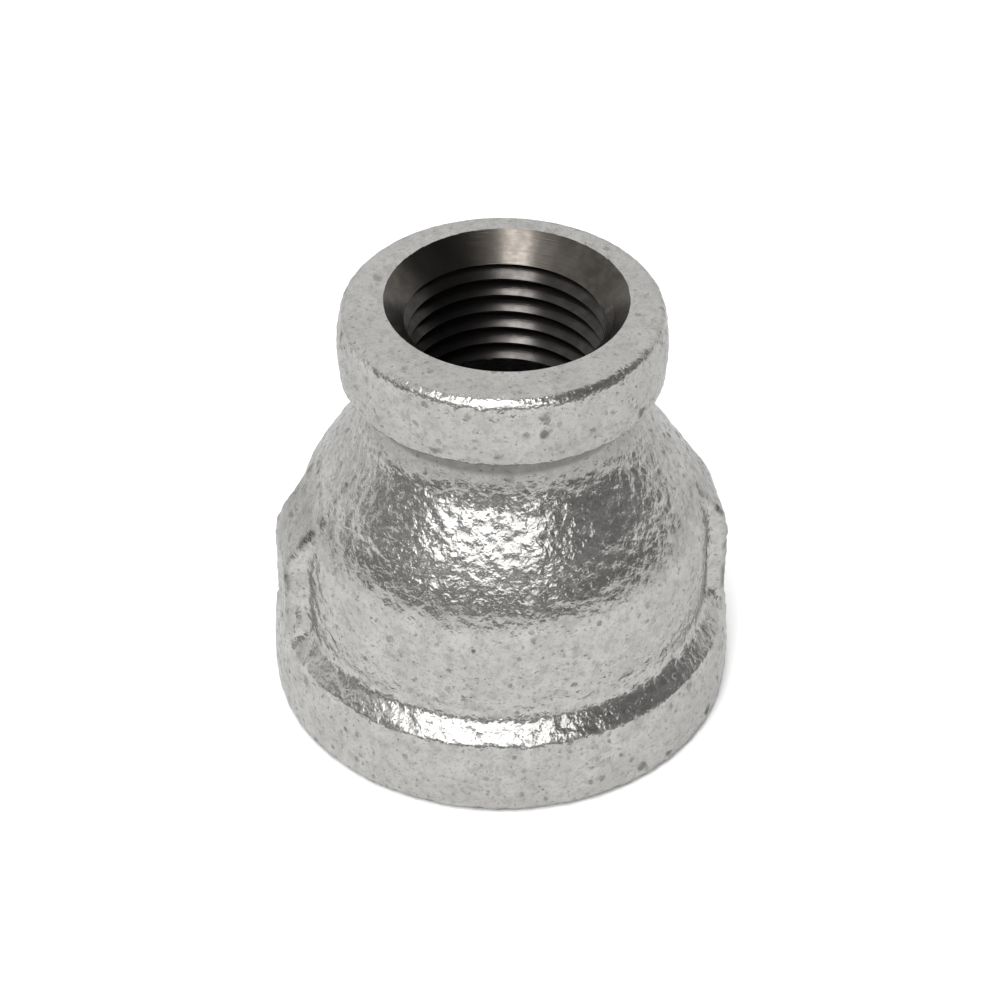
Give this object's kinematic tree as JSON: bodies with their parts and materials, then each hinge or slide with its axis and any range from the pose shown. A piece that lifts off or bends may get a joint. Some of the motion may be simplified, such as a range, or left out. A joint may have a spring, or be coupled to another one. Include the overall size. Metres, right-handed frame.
{
  "type": "threaded reducing coupling",
  "caption": "Bell-shaped galvanised iron coupling that joins a pipe to a smaller one on the same axis, with a female tapered pipe thread in each end.",
  "frame": {"origin": "centre of the large end's face, on the common axis of the two threads", "axes": "+Z along the axis from the large end to the small end; the two ribs stand at +X and -X"},
  "size_m": [0.045, 0.045, 0.0432],
  "materials": {
    "galvanised_iron": "hot-dip galvanised casting with a fine dimpled skin, bare machined threads"
  },
  "bodies": {
    "root": {"reducer_body": "galvanised_iron"}
  },
  "joints": []
}
